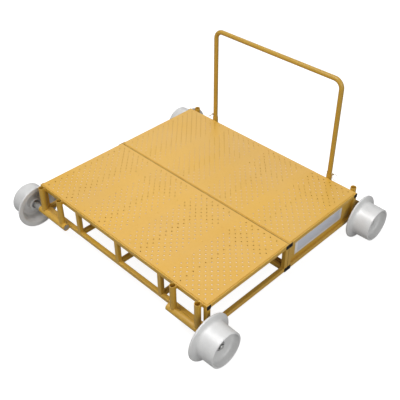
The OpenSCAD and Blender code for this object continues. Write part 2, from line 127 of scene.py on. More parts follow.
def pick(obj, kind, test):
    """In edit mode, selects the vertices, edges or faces whose middle and normal pass the test."""
    bpy.ops.mesh.select_mode(type={"verts": "VERT", "edges": "EDGE", "faces": "FACE"}[kind])
    bpy.ops.mesh.select_all(action="DESELECT")
    mesh = bmesh.from_edit_mesh(obj.data)
    for item in getattr(mesh, kind):
        if kind == "verts":
            middle = item.co
        elif kind == "edges":
            middle = (item.verts[0].co + item.verts[1].co) / 2
        else:
            middle = item.calc_center_median()
        if test(middle, item):
            item.select_set(True)
    mesh.select_flush_mode()
    bmesh.update_edit_mesh(obj.data)


def apply_modifier(obj, kind, **settings):
    activate(obj)
    modifier = obj.modifiers.new(kind.lower(), kind)
    for name, value in settings.items():
        setattr(modifier, name, value)
    bpy.ops.object.modifier_apply(modifier=modifier.name)


def place(obj, location=(0, 0, 0), rotation=(0, 0, 0)):
    """Moves the finished shape to its place and leaves the object at the origin."""
    activate(obj)
    obj.location = location
    obj.rotation_euler = rotation
    bpy.ops.object.transform_apply(location=True, rotation=True, scale=True)


def copied(obj, name):
    activate(obj)
    bpy.ops.object.duplicate(linked=False)
    twin = bpy.context.object
    twin.name = name
    return twin


def joined(objects, name):
    deselect()
    for obj in objects:
        obj.select_set(True)
    bpy.context.view_layer.objects.active = objects[0]
    if len(objects) > 1:
        bpy.ops.object.join()
    whole = bpy.context.object
    whole.name = name
    return whole


def half_turn(obj, name):
    """A copy turned half round the vertical line through the origin."""
    twin = copied(obj, name)
    place(twin, rotation=(0, 0, math.pi))
    return twin


def mirrored(obj, name, axis):
    twin = copied(obj, name)
    scale = [1, 1, 1]
    scale[axis] = -1
    twin.scale = scale
    bpy.ops.object.transform_apply(location=True, rotation=True, scale=True)
    edit(twin)
    take_all()
    bpy.ops.mesh.normals_make_consistent(inside=False)
    deselect()
    return twin


def smooth(obj, degrees=35):
    activate(obj)
    bpy.ops.object.shade_smooth_by_angle(angle=math.radians(degrees))


def close_shell(obj, merge=0.00002):
    """Merges what meets and turns every face outwards."""
    edit(obj)
    take_all()
    bpy.ops.mesh.remove_doubles(threshold=merge)
    bpy.ops.mesh.normals_make_consistent(inside=False)
    deselect()


def lathe(name, outline, steps=96, turn=2 * math.pi):
    """Spins a closed outline of (radius, height) points round Z, all the way or in part."""
    deselect()
    bpy.ops.mesh.primitive_plane_add(size=0.001)
    obj = bpy.context.object
    obj.name = name
    bpy.ops.object.mode_set(mode="EDIT")
    bpy.ops.mesh.select_mode(type="VERT")
    take_all()
    bpy.ops.mesh.merge(type="CENTER")
    bpy.ops.transform.translate(value=(outline[0][0], 0, outline[0][1]))
    for (r0, z0), (r1, z1) in zip(outline, outline[1:] + outline[:1]):
        bpy.ops.mesh.extrude_region_move(
            TRANSFORM_OT_translate={"value": (r1 - r0, 0, z1 - z0)})
    take_all()
    bpy.ops.mesh.remove_doubles(threshold=0.000005)
    take_all()
    bpy.ops.mesh.spin(steps=steps, angle=turn, center=(0, 0, 0), axis=(0, 0, 1))
    take_all()
    bpy.ops.mesh.remove_doubles(threshold=0.000005)
    bpy.ops.mesh.delete_loose(use_verts=True, use_edges=True, use_faces=False)
    if turn < 2 * math.pi:
        take_all()
        bpy.ops.mesh.fill_holes(sides=0)
    close_shell(obj, 0.000005)
    smooth(obj, 32)
    return obj


def arc(middle, radius, start, end, points):
    """Points on a circle in an outline, angles in degrees from the radius direction."""
    turns = [math.radians(start + (end - start) * i / (points - 1)) for i in range(points)]
    return [(middle[0] + radius * math.cos(a), middle[1] + radius * math.sin(a)) for a in turns]


def dress(obj, body, slot, stands_for=(), material=None):
    """Gives a finished piece its body and its slot's material, and hides the nodes it stands for.
    The material is its slot's own unless another one is given."""
    obj.data.materials.clear()
    obj.data.materials.append(material or SLOT_MATERIALS[slot])
    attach(obj, body)
    if stands_for:
        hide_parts(*stands_for)
    return obj


# ---------------------------------------------------------------- camera, light and floor
LENS = 59.05
SENSOR_WIDTH = 36
LENS_SHIFT = (-0.011, -0.0165)
CAMERA_AT = (2.0999, -2.0706, 2.5382)
CAMERA_TILT = math.radians(52.33)
CAMERA_TURN = math.radians(44.65)
camera_data = bpy.data.cameras.new("camera")
camera_data.lens = LENS
camera_data.sensor_width = SENSOR_WIDTH
camera_data.shift_x, camera_data.shift_y = LENS_SHIFT
camera = bpy.data.objects.new("camera", camera_data)
camera.location = CAMERA_AT
camera.rotation_euler = (CAMERA_TILT, 0, CAMERA_TURN)
bpy.context.scene.collection.objects.link(camera)
bpy.context.scene.camera = camera
bpy.context.scene.view_settings.view_transform = "Standard"


def soft_box(name, place_at, aim, size, watts):
    light = bpy.data.lights.new(name, "AREA")
    light.shape = "SQUARE"
    light.size = size
    light.energy = watts
    lamp = bpy.data.objects.new(name, light)
    lamp.location = place_at
    lamp.rotation_euler = (Vector(aim) - Vector(place_at)).to_track_quat("-Z", "Y").to_euler()
    bpy.context.scene.collection.objects.link(lamp)


soft_box("overhead_box", (-0.5, -1.9, 6.0), (0, 0, 0.2), 3.0, 235)
soft_box("back_box", (-3.6, 3.8, 4.4), (0, 0, 0.3), 4.0, 55)
soft_box("side_box", (5.2, -1.6, 2.6), (0, 0, 0.2), 3.0, 90)

SKY_LIGHT = 0.33
SKY_SEEN = 1.0
world = bpy.data.worlds.new("studio")
bpy.context.scene.world = world
world.use_nodes = True
backdrop = world.node_tree.nodes["Background"]
backdrop.inputs["Color"].default_value = (1, 1, 1, 1)
seen_by_camera = world.node_tree.nodes.new("ShaderNodeLightPath")
sky_strength = world.node_tree.nodes.new("ShaderNodeMapRange")
sky_strength.inputs["To Min"].default_value = SKY_LIGHT
sky_strength.inputs["To Max"].default_value = SKY_SEEN
world.node_tree.links.new(seen_by_camera.outputs["Is Camera Ray"], sky_strength.inputs["Value"])
world.node_tree.links.new(sky_strength.outputs["Result"], backdrop.inputs["Strength"])

FLOOR_SIZE = 40
deselect()
bpy.ops.mesh.primitive_grid_add(x_subdivisions=8, y_subdivisions=8, size=FLOOR_SIZE)
floor = bpy.context.object
floor.name = "studio_floor"


# ---------------------------------------------------------------- shader node groups
class Nodes:
    """Short names for making and joining the nodes of one tree."""

    def __init__(self, tree):
        self.tree = tree

    def put(self, node, socket, value):
        target = node.inputs[socket] if not isinstance(socket, bpy.types.NodeSocket) else socket
        if isinstance(value, bpy.types.NodeSocket):
            self.tree.links.new(value, target)
        else:
            target.default_value = value

    def math(self, operation, first, second=0.0, clamp=False):
        node = self.tree.nodes.new("ShaderNodeMath")
        node.operation = operation
        node.use_clamp = clamp
        self.put(node, node.inputs[0], first)
        self.put(node, node.inputs[1], second)
        return node.outputs[0]

    def mix(self, share, first, second):
        node = self.tree.nodes.new("ShaderNodeMix")
        node.data_type = "RGBA"
        self.put(node, node.inputs[0], share)
        self.put(node, node.inputs[6], first)
        self.put(node, node.inputs[7], second)
        return node.outputs[2]

    def ramp(self, value, low, high, from_low=0.0, from_high=1.0):
        """Maps a value's span to another, kept inside it."""
        node = self.tree.nodes.new("ShaderNodeMapRange")
        self.put(node, node.inputs["Value"], value)
        self.put(node, node.inputs["From Min"], from_low)
        self.put(node, node.inputs["From Max"], from_high)
        self.put(node, node.inputs["To Min"], low)
        self.put(node, node.inputs["To Max"], high)
        return node.outputs["Result"]

    def noise(self, scale, detail=3.0, rough=0.55, stretch=None):
        place_at = self.tree.nodes.new("ShaderNodeTexCoord").outputs["Object"]
        if stretch:
            mapping = self.tree.nodes.new("ShaderNodeMapping")
            self.put(mapping, "Vector", place_at)
            mapping.inputs["Scale"].default_value = stretch
            place_at = mapping.outputs["Vector"]
        node = self.tree.nodes.new("ShaderNodeTexNoise")
        self.put(node, "Vector", place_at)
        self.put(node, "Scale", scale)
        self.put(node, "Detail", detail)
        self.put(node, "Roughness", rough)
        return node.outputs["Fac"]


def new_group(name, inputs, outputs):
    """An empty shader node group with float inputs and named outputs."""
    tree = bpy.data.node_groups.new(name, "ShaderNodeTree")
    for label, value in inputs.items():
        socket = tree.interface.new_socket(label, in_out="INPUT", socket_type="NodeSocketFloat")
        socket.default_value = value
    for label, kind in outputs.items():
        tree.interface.new_socket(label, in_out="OUTPUT", socket_type="NodeSocket" + kind)
    entry = tree.nodes.new("NodeGroupInput")
    leave = tree.nodes.new("NodeGroupOutput")
    return tree, Nodes(tree), entry.outputs, leave


def make_edge_group():
    """Mask of sharp outer edges, broken up by noise."""
    tree, make, given, leave = new_group(
        "worn_edges", {"Width": 0.0015, "Breakup": 60.0, "Amount": 0.5}, {"Mask": "Float"})
    bevel = tree.nodes.new("ShaderNodeBevel")
    bevel.samples = 4
    make.put(bevel, "Radius", given["Width"])
    normal = tree.nodes.new("ShaderNodeNewGeometry").outputs["Normal"]
    dot = tree.nodes.new("ShaderNodeVectorMath")
    dot.operation = "DOT_PRODUCT"
    make.put(dot, dot.inputs[0], bevel.outputs["Normal"])
    make.put(dot, dot.inputs[1], normal)
    edge = make.ramp(dot.outputs["Value"], 1.0, 0.0, 0.80, 0.97)
    noise = make.noise(given["Breakup"], 5.0, 0.65)
    broken = make.ramp(noise, 0.0, 1.0, 0.50, 0.62)
    mask = make.math("MULTIPLY", make.math("MULTIPLY", edge, broken), given["Amount"], clamp=True)
    make.put(leave, "Mask", mask)
    return tree


def make_dust_group():
    """Mask of dust that settles on faces that look up, in soft patches."""
    tree, make, given, leave = new_group(
        "settled_dust", {"Amount": 0.3, "Patch": 3.0}, {"Mask": "Float"})
    normal = tree.nodes.new("ShaderNodeNewGeometry").outputs["Normal"]
    split = tree.nodes.new("ShaderNodeSeparateXYZ")
    make.put(split, "Vector", normal)
    up = make.ramp(split.outputs["Z"], 0.15, 1.0, 0.0, 0.9)
    patches = make.ramp(make.noise(given["Patch"], 6.0, 0.6), 0.0, 1.0, 0.35, 0.7)
    mask = make.math("MULTIPLY", make.math("MULTIPLY", up, patches), given["Amount"], clamp=True)
    make.put(leave, "Mask", mask)
    return tree


def make_peel_group():
    """Height of a sprayed powder coat's orange peel."""
    tree, make, given, leave = new_group(
        "orange_peel", {"Scale": 420.0, "Wave": 35.0}, {"Height": "Float"})
    fine = make.noise(given["Scale"], 2.0, 0.5)
    wave = make.noise(given["Wave"], 2.0, 0.5)
    height = make.math("ADD", make.math("MULTIPLY", fine, 0.6), make.math("MULTIPLY", wave, 0.4))
    make.put(leave, "Height", height)
    return tree


def make_scratch_group():
    """Mask of long thin scuffs, each family running its own way."""
    tree, make, given, leave = new_group(
        "scuffs", {"Density": 0.5, "Scale": 6.0}, {"Mask": "Float"})
    along = make.noise(given["Scale"], 4.0, 0.7, stretch=(1.0, 28.0, 28.0))
    across = make.noise(given["Scale"], 4.0, 0.7, stretch=(24.0, 1.3, 24.0))
    first = make.ramp(along, 0.0, 1.0, 0.66, 0.72)
    second = make.ramp(across, 0.0, 1.0, 0.67, 0.73)
    both = make.math("MAXIMUM", first, second)
    mask = make.math("MULTIPLY", both, given["Density"], clamp=True)
    make.put(leave, "Mask", mask)
    return tree


def make_seam_shade_group():
    """Mask of painted shade along the line y = 0, where the two modules meet, standing in for the
    shade of the gap between them.
    """
    tree, make, given, leave = new_group(
        "painted_seam_shade", {"Width": 0.004, "Breakup": 20.0}, {"Mask": "Float"})
    split = tree.nodes.new("ShaderNodeSeparateXYZ")
    make.put(split, "Vector", tree.nodes.new("ShaderNodeTexCoord").outputs["Object"])
    off_line = make.math("DIVIDE", make.math("ABSOLUTE", split.outputs["Y"]), given["Width"])
    line = make.ramp(off_line, 1.0, 0.0, 0.35, 1.0)
    patches = make.ramp(make.noise(given["Breakup"], 3.0, 0.6), 0.45, 1.0, 0.35, 0.6)
    make.put(leave, "Mask", make.math("MULTIPLY", line, patches, clamp=True))
    return tree


WORN_EDGES = make_edge_group()
SETTLED_DUST = make_dust_group()
ORANGE_PEEL = make_peel_group()
SCUFFS = make_scratch_group()
# painted shade along the seam between the two modules
SEAM_SHADE = make_seam_shade_group()


# ---------------------------------------------------------------- materials
def new_material(name):
    material = bpy.data.materials.new(name)
    material.use_nodes = True
    tree = material.node_tree
    shader = tree.nodes["Principled BSDF"]
    return material, Nodes(tree), shader


def use_group(make, group, **values):
    node = make.tree.nodes.new("ShaderNodeGroup")
    node.node_tree = group
    for name, value in values.items():
        make.put(node, name, value)
    return node.outputs[0]


def bump(make, height, strength, distance):
    node = make.tree.nodes.new("ShaderNodeBump")
    node.inputs["Strength"].default_value = strength
    node.inputs["Distance"].default_value = distance
    make.put(node, "Height", height)
    return node.outputs["Normal"]


DUST = (0.66, 0.50, 0.28, 1)
CHIPPED = (0.30, 0.25, 0.20, 1)
# colour of the painted shade in the seam between the two modules
SEAM_SHADE_COLOUR = (0.17, 0.070, 0.010, 1)
GREY_DUST = (0.30, 0.28, 0.25, 1)
SEAM_WIDTH = 0.0028
TOOL_MARKS = 900.0
TURNED_STRETCH = 60


def powder_coat(name, colour, deep, wear=0.5, dust=0.25, scuff=0.35):
    """Sprayed coat: slow shade drift, orange peel, scuffs, dust, chipped edges and painted shade
    along the seam where the modules meet.
    """
    material, make, shader = new_material(name)
    drift = make.ramp(make.noise(2.2, 3.0, 0.5), 0.0, 1.0, 0.3, 0.7)
    grain = make.ramp(make.noise(90.0, 2.0, 0.6), 0.0, 0.35, 0.35, 0.7)
    paint = make.mix(make.math("ADD", make.math("MULTIPLY", drift, 0.6), grain), colour, deep)
    scuffs = use_group(make, SCUFFS, Density=scuff, Scale=5.0)
    paint = make.mix(scuffs, paint, tuple(0.55 * c + 0.22 for c in colour[:3]) + (1,))
    dusty = use_group(make, SETTLED_DUST, Amount=dust, Patch=3.5)
    paint = make.mix(dusty, paint, DUST)
    edges = use_group(make, WORN_EDGES, Width=0.0014, Breakup=70.0, Amount=wear)
    paint = make.mix(edges, paint, CHIPPED)
    # painted shade: darkens the coat along the seam where the two modules meet
    seam_shade = use_group(make, SEAM_SHADE, Width=SEAM_WIDTH, Breakup=12.0)
    paint = make.mix(seam_shade, paint, SEAM_SHADE_COLOUR)
    make.put(shader, "Base Color", paint)
    rough = make.ramp(make.noise(14.0, 4.0, 0.6), 0.30, 0.46, 0.3, 0.7)
    rough = make.math("ADD", rough, make.math("MULTIPLY", scuffs, 0.18))
    rough = make.math("ADD", rough, make.math("MULTIPLY", dusty, 0.25), clamp=True)
    make.put(shader, "Roughness", rough)
    peel = use_group(make, ORANGE_PEEL, Scale=420.0, Wave=35.0)
    make.put(shader, "Normal", bump(make, peel, 0.22, 0.0006))
    shader.inputs["Coat Weight"].default_value = 0.15
    shader.inputs["Coat Roughness"].default_value = 0.25
    return material


def bare_metal(name, colour, rough, metallic=1.0, turned=False, mottle=0.12):
    """Ground, cast or plated metal with a mottled shade and fine marks. Turned metal has its
    marks squeezed along X, which is the axles' direction."""
    material, make, shader = new_material(name)
    dark = tuple(c * (1 - 2.2 * mottle) for c in colour[:3]) + (1,)
    patches = make.ramp(make.noise(18.0, 5.0, 0.6), 0.0, 1.0, 0.35, 0.7)
    fine = make.ramp(make.noise(260.0, 2.0, 0.5), 0.0, 0.4, 0.3, 0.7)
    shade = make.math("ADD", make.math("MULTIPLY", patches, 0.6), fine)
    scuffs = use_group(make, SCUFFS, Density=0.4, Scale=9.0)
    tint = make.mix(shade, colour, dark)
    make.put(shader, "Base Color", make.mix(scuffs, tint, dark))
    spread = make.ramp(make.noise(40.0, 4.0, 0.6), rough - 0.06, rough + 0.10, 0.3, 0.7)
    make.put(shader, "Roughness", make.math("ADD", spread, make.math("MULTIPLY", scuffs, 0.12)))
    shader.inputs["Metallic"].default_value = metallic
    scale = TOOL_MARKS / TURNED_STRETCH if turned else TOOL_MARKS
    stretch = (TURNED_STRETCH, 1, 1) if turned else (1, 1, 1)
    marks = make.noise(scale, 2.0, 0.5, stretch=stretch)
    make.put(shader, "Normal", bump(make, marks, 0.25, 0.0003))
    return material


def moulded(name, colour, rough, lift=0.035, dust=0.35, gloss=0.5):
    """Moulded plastic or oxide finish with a fine stipple."""
    material, make, shader = new_material(name)
    light = tuple(c + lift for c in colour[:3]) + (1,)
    shade = make.ramp(make.noise(30.0, 4.0, 0.6), 0.0, 1.0, 0.3, 0.7)
    dusty = use_group(make, SETTLED_DUST, Amount=dust, Patch=9.0)
    tint = make.mix(shade, colour, light)
    make.put(shader, "Base Color", make.mix(dusty, tint, GREY_DUST))
    make.put(shader, "Roughness", make.ramp(make.noise(60.0, 3.0, 0.5), rough - 0.08, rough + 0.1))
    make.put(shader, "Normal", bump(make, make.noise(1400.0, 1.0, 0.5), 0.3, 0.0002))
    shader.inputs["Specular IOR Level"].default_value = gloss
    return material


COAT = (0.69, 0.41, 0.051, 1)
COAT_DEEP = (0.57, 0.32, 0.030, 1)
DECK_COAT = (0.765, 0.440, 0.060, 1)
DECK_COAT_DEEP = (0.695, 0.383, 0.044, 1)
HANDLE_COAT = (0.56, 0.34, 0.045, 1)
HANDLE_COAT_DEEP = (0.48, 0.275, 0.030, 1)
frame_paint = powder_coat("frame_powder_coat", COAT, COAT_DEEP, dust=0.15)
deck_paint = powder_coat("deck_powder_coat", DECK_COAT, DECK_COAT_DEEP,
                         wear=0.35, dust=0.16, scuff=0.30)
handle_paint = powder_coat("handle_powder_coat", HANDLE_COAT, HANDLE_COAT_DEEP,
                           wear=0.6, dust=0.05, scuff=0.5)
cast_alloy = bare_metal("cast_wheel_alloy", (0.77, 0.77, 0.765, 1), 0.44, metallic=0.12,
                        mottle=0.05)
turned_steel = bare_metal("turned_axle_steel", (0.78, 0.78, 0.76, 1), 0.30, metallic=0.7,
                          turned=True)
ground_steel = bare_metal("ground_bearing_steel", (0.56, 0.56, 0.57, 1), 0.24)
plated_steel = bare_metal("passivated_zinc_steel", (0.70, 0.58, 0.36, 1), 0.34, metallic=0.6)
oxide_steel = moulded("black_oxide_steel", (0.022, 0.022, 0.024, 1), 0.42)
plug_plastic = moulded("black_plug_plastic", (0.006, 0.005, 0.005, 1), 0.55, lift=0.010,
                       dust=0.10, gloss=0.15)
plate_face = powder_coat("blank_plate_paint", (0.86, 0.86, 0.85, 1), (0.78, 0.78, 0.78, 1),
                         wear=0.4, dust=0.1, scuff=0.3)
plate_field = powder_coat("blank_field_paint", (0.66, 0.68, 0.75, 1), (0.60, 0.63, 0.70, 1),
                          wear=0.2, dust=0.1, scuff=0.3)

SLOT_MATERIALS = {
    "frame_paint": frame_paint,
    "deck_paint": deck_paint,
    "handle_paint": handle_paint,
    "black_plastic": plug_plastic,
    "black_steel": oxide_steel,
    "cast_alloy": cast_alloy,
    "bearing_steel": ground_steel,
    "bright_steel": turned_steel,
    "plated_steel": plated_steel,
    "plate_white": plate_face,
}
for part in frame["record"]["subparts"]:
    node_object = frame["nodes"][part["node"]]
    node_object.data.materials.clear()
    node_object.data.materials.append(SLOT_MATERIALS[part["material_slot"]])


def floor_material():
    """Pale floor, brighter to the camera than to the light that bounces off it."""
    material, make, shader = new_material("studio_floor_paint")
    seen = make.tree.nodes.new("ShaderNodeLightPath").outputs["Is Camera Ray"]
    shade = make.mix(seen, (0.36, 0.36, 0.36, 1), (0.34, 0.34, 0.34, 1))
    make.put(shader, "Base Color", shade)
    glow = make.mix(seen, (0, 0, 0, 1), (0.90, 0.90, 0.90, 1))
    make.put(shader, "Emission Color", glow)
    shader.inputs["Emission Strength"].default_value = 1.0
    shader.inputs["Roughness"].default_value = 0.9
    shader.inputs["Specular IOR Level"].default_value = 0.1
    return material


floor.data.materials.append(floor_material())


# ---------------------------------------------------------------- perforated decks
HOLE_R = 3.6 * MM
HOLE_SIDES = 16
CELL_X = 21.0 * MM
CELL_Y = 21.6 * MM
CELLS_X = 13
CELLS_Y = 26
SHEET_MERGE = 0.0001


def lattice_cell(name, column, row, drilled):
    """One cell of the lattice: a rectangle, with a round hole or plain."""
    middle = ((column + 0.5) * CELL_X, (row + 0.5) * CELL_Y, 0)
    deselect()
    bpy.ops.mesh.primitive_plane_add(size=1, location=middle)
    cell = bpy.context.object
    cell.name = name
    cell.scale = (CELL_X, CELL_Y, 1)
    bpy.ops.object.transform_apply(location=True, rotation=True, scale=True)
    if drilled:
        edit(cell)
        take_all()
        bpy.ops.mesh.delete(type="ONLY_FACE")
        bpy.ops.mesh.primitive_circle_add(vertices=HOLE_SIDES, radius=HOLE_R, location=middle)
        bpy.ops.mesh.select_mode(type="EDGE")
        take_all()
        bpy.ops.mesh.fill(use_beauty=True)
        deselect()
    return cell


def repeated(obj, count, step):
    """Repeats a sheet along a step, its copies merged where they meet."""
    apply_modifier(obj, "ARRAY", count=count, use_relative_offset=False,
                   use_constant_offset=True, constant_offset_displace=step,
                   use_merge_vertices=True, merge_threshold=SHEET_MERGE)


def extrude_side(obj, axis, place_at, move):
    """Draws the border edges that lie at one place along an axis outwards."""
    pick(obj, "edges", lambda middle, edge: edge.is_boundary
         and all(abs(v.co[axis] - place_at) < 1e-5 for v in edge.verts))
    step = [0, 0, 0]
    step[axis] = move
    bpy.ops.mesh.extrude_region_move(TRANSFORM_OT_translate={"value": step})


def perforated_deck(name):
    """One sheet: a block of four cells repeated over a bay, the bay over the module, then
    plain borders drawn out and the whole thickened downwards."""
    zone = CELLS_X * CELL_X
    strip = PITCH - zone
    edge_x = sheet_high.x - (HALF_LENGTH - strip / 2)
    depth = CELLS_Y * CELL_Y
    edge_y = (sheet_high.y - sheet_low.y - depth) / 2
    cells = [lattice_cell(f"cell_{c}{r}", c, r, c == r) for c in (0, 1) for r in (0, 1)]
    deck = joined(cells, name)
    close_shell(deck)
    repeated(deck, (CELLS_X + 1) // 2, (2 * CELL_X, 0, 0))
    repeated(deck, CELLS_Y // 2, (0, 2 * CELL_Y, 0))
    edit(deck)
    pick(deck, "faces", lambda middle, face: middle.x > zone)
    bpy.ops.mesh.delete(type="FACE")
    extrude_side(deck, 0, zone, strip)
    repeated(deck, BAYS, (PITCH, 0, 0))
    edit(deck)
    take_all()
    bpy.ops.mesh.remove_doubles(threshold=SHEET_MERGE)
    pick(deck, "verts", lambda middle, vert: middle.x > BAYS * PITCH - 0.001)
    bpy.ops.transform.translate(value=(edge_x - strip, 0, 0))
    extrude_side(deck, 0, 0.0, -edge_x)
    extrude_side(deck, 1, 0.0, -edge_y)
    extrude_side(deck, 1, depth, edge_y)
    close_shell(deck)
    place(deck, (sheet_low.x + edge_x, sheet_low.y + edge_y, DECK_TOP))
    if deck.data.polygons[0].normal.z < 0:
        edit(deck)
        take_all()
        bpy.ops.mesh.flip_normals()
        deselect()
    apply_modifier(deck, "SOLIDIFY", thickness=DECK_THICKNESS, offset=-1)
    smooth(deck, 30)
    return deck


front_deck = perforated_deck("front_perforated_deck")
rear_deck = half_turn(front_deck, "rear_perforated_deck")
dress(front_deck, "frame", "deck_paint", ["front_deck_sheet"])
dress(rear_deck, "frame", "deck_paint", ["rear_deck_sheet"])


# ---------------------------------------------------------------- wheels
TREAD_R = 99 * MM
TREAD_FALL = 2 * MM
HUB_R = 37 * MM
HUB_LENGTH = 50 * MM
BEARING_R = 26 * MM
BEARING_WIDTH = 15 * MM
DISH = 40 * MM
WEB = 12 * MM
RIM_WALL = 9 * MM
WEB_OUT = WHEEL_WIDTH - DISH
WEB_IN = WEB_OUT - WEB
HUB_OUT = WEB_OUT + 2 * MM
HUB_IN = HUB_OUT - HUB_LENGTH


def wheel_outline():
    """Half section of a wheel: radius and distance outwards from the flange's face."""
    tread_out = TREAD_R - TREAD_FALL
    rim_in = tread_out - RIM_WALL
    hub_fillet, rim_fillet, dish_fillet, root = 6 * MM, 10 * MM, 16 * MM, 13 * MM
    lip, flange_in, flange_out = 1.4 * MM, 4 * MM, 5 * MM
    tread_edge, rim_edge, hub_edge = 3.5 * MM, 1.5 * MM, 2 * MM
    web_gap, lead, spacer_r = 1 * MM, 1 * MM, 22 * MM
    points = [(HUB_R, WEB_IN - hub_fillet)]
    points += arc((HUB_R + hub_fillet, WEB_IN - hub_fillet), hub_fillet, 180, 90, 5)[1:]
    points += arc((rim_in - rim_fillet - web_gap, WEB_IN - rim_fillet), rim_fillet, 90, 0, 6)
    points += [(rim_in, 27 * MM), (rim_in + 2 * MM, 20 * MM), (105 * MM, 2 * MM)]
    points += arc((107 * MM, lip), lip, 180, 270, 4)
    points += arc((FLANGE_R - flange_in, flange_in), flange_in, 270, 360, 6)
    points += arc((FLANGE_R - flange_out, 7 * MM), flange_out, 0, 65, 6)
    points += arc((TREAD_R + root, 28 * MM), root, 250, 180, 9)
    points += [(TREAD_R - 1 * MM, 70 * MM)]
    points += arc((tread_out - tread_edge, WHEEL_WIDTH - tread_edge), tread_edge, 0, 90, 5)
    points += arc((rim_in + rim_edge, WHEEL_WIDTH - rim_edge), rim_edge, 90, 180, 4)
    points += arc((rim_in - dish_fillet - web_gap, WEB_OUT + dish_fillet), dish_fillet, 0, -90, 9)
    points += [(HUB_R + 3 * MM, WEB_OUT), (HUB_R, HUB_OUT)]
    points += [(BEARING_R + lead, HUB_OUT), (BEARING_R, HUB_OUT - lead)]
    points += [(BEARING_R, HUB_OUT - BEARING_WIDTH), (spacer_r, HUB_OUT - BEARING_WIDTH)]
    points += [(spacer_r, HUB_IN + BEARING_WIDTH), (BEARING_R, HUB_IN + BEARING_WIDTH)]
    points += [(BEARING_R, HUB_IN + lead), (BEARING_R + lead, HUB_IN)]
    points += arc((HUB_R - hub_edge, HUB_IN + hub_edge), hub_edge, 270, 360, 4)
    return points


def bearing_outline(inner, outer, width):
    edge = 0.8 * MM
    return [(inner, edge), (inner + edge, 0), (outer - edge, 0), (outer, edge),
            (outer, width - edge), (outer - edge, width), (inner + edge, width),
            (inner, width - edge)]


def ball_bearing(name):
    """Inner and outer race with one filling between them that shows a seal on each side."""
    bore, inner_r, ridge_r, outer_r = 12.55 * MM, 17 * MM, 19 * MM, 22 * MM
    recess, ridge = 1 * MM, 0.7 * MM
    inner = bearing_outline(bore, inner_r, BEARING_WIDTH)
    outer = bearing_outline(outer_r, BEARING_R - 0.02 * MM, BEARING_WIDTH)
    seals = [(inner_r, recess), (ridge_r, ridge), (outer_r, recess)]
    seals += [(radius, BEARING_WIDTH - height) for radius, height in reversed(seals)]
    rings = {"inner_race": inner, "outer_race": outer, "seals": seals}
    return joined([lathe(ring, outline, 64) for ring, outline in rings.items()], name)


def at_corner(obj, sx, sy, along):
    """Stands a piece turned round Z on a wheel's axis, at a distance out from the flange face."""
    place(obj, (sx * (WHEEL_X + along), sy * AXLE_Y, AXLE_Z), (0, sx * math.pi / 2, 0))


master_wheel = lathe("master_wheel", wheel_outline(), 128)
master_bearing = ball_bearing("master_bearing")
for corner, (sx, sy) in WHEELS.items():
    body = corner + "_wheel_set"
    wheel = copied(master_wheel, corner + "_flanged_wheel")
    at_corner(wheel, sx, sy, 0)
    dress(wheel, body, "cast_alloy", [corner + "_wheel"])
    pair = []
    for along in (HUB_IN, HUB_OUT - BEARING_WIDTH):
        bearing = copied(master_bearing, "bearing")
        at_corner(bearing, sx, sy, along)
        pair.append(bearing)
    bearings = joined(pair, corner + "_ball_bearings")
    dress(bearings, body, "bearing_steel", [corner + "_bearings"])
bpy.data.objects.remove(master_wheel)
bpy.data.objects.remove(master_bearing)


# ---------------------------------------------------------------- push handle
def push_handle(name):
    """One tube: up a leg, round a bend, across, round the other bend and down."""
    deselect()
    bpy.ops.mesh.primitive_circle_add(
        vertices=40, radius=HANDLE_R, location=(-HANDLE_X, AXLE_Y, HANDLE_FOOT))
    bar = bpy.context.object
    bar.name = name
    bpy.ops.object.transform_apply(location=True, rotation=True, scale=True)
    bpy.ops.object.mode_set(mode="EDIT")
    bpy.ops.mesh.select_mode(type="VERT")
    take_all()
    rise = HANDLE_Z - BEND_R - HANDLE_FOOT
    across = 2 * (HANDLE_X - BEND_R)
    bpy.ops.mesh.extrude_region_move(TRANSFORM_OT_translate={"value": (0, 0, rise)})
    bpy.ops.mesh.spin(steps=16, angle=math.pi / 2, axis=(0, -1, 0),
                      center=(-HANDLE_X + BEND_R, AXLE_Y, HANDLE_Z - BEND_R))
    bpy.ops.mesh.extrude_region_move(TRANSFORM_OT_translate={"value": (across, 0, 0)})
    bpy.ops.mesh.spin(steps=16, angle=math.pi / 2, axis=(0, -1, 0),
                      center=(HANDLE_X - BEND_R, AXLE_Y, HANDLE_Z - BEND_R))
    bpy.ops.mesh.extrude_region_move(TRANSFORM_OT_translate={"value": (0, 0, -rise)})
    close_shell(bar)
    apply_modifier(bar, "SOLIDIFY", thickness=HANDLE_WALL, offset=-1)
    smooth(bar, 30)
    return bar


handle_bar = push_handle("push_handle_tube")
dress(handle_bar, "handle_bar", "handle_paint", ["handle"])


# ---------------------------------------------------------------- turned and pressed small parts
def cube_between(name, low, high):
    """A plain block between two corners, left in edit mode."""
    deselect()
    bpy.ops.mesh.primitive_cube_add(size=1)
    piece = bpy.context.object
    piece.name = name
    edit(piece)
    take_all()
    bpy.ops.transform.resize(value=[high[i] - low[i] for i in range(3)])
    bpy.ops.transform.translate(value=[(high[i] + low[i]) / 2 for i in range(3)])
    return piece


def block(name, low, high, corner):
    """A block between two corners with rounded edges."""
    piece = cube_between(name, low, high)
    apply_modifier(piece, "BEVEL", width=corner, segments=2, limit_method="ANGLE")
    smooth(piece, 40)
    return piece


def hexagon(flats, depth, middle_z):
    """A six-sided prism with its middle at a height, left in edit mode."""
    deselect()
    bpy.ops.mesh.primitive_cylinder_add(vertices=6, radius=flats / 2 / math.cos(math.pi / 6),
                                        depth=depth)
    prism = bpy.context.object
    place(prism, (0, 0, middle_z))
    edit(prism)
    return prism


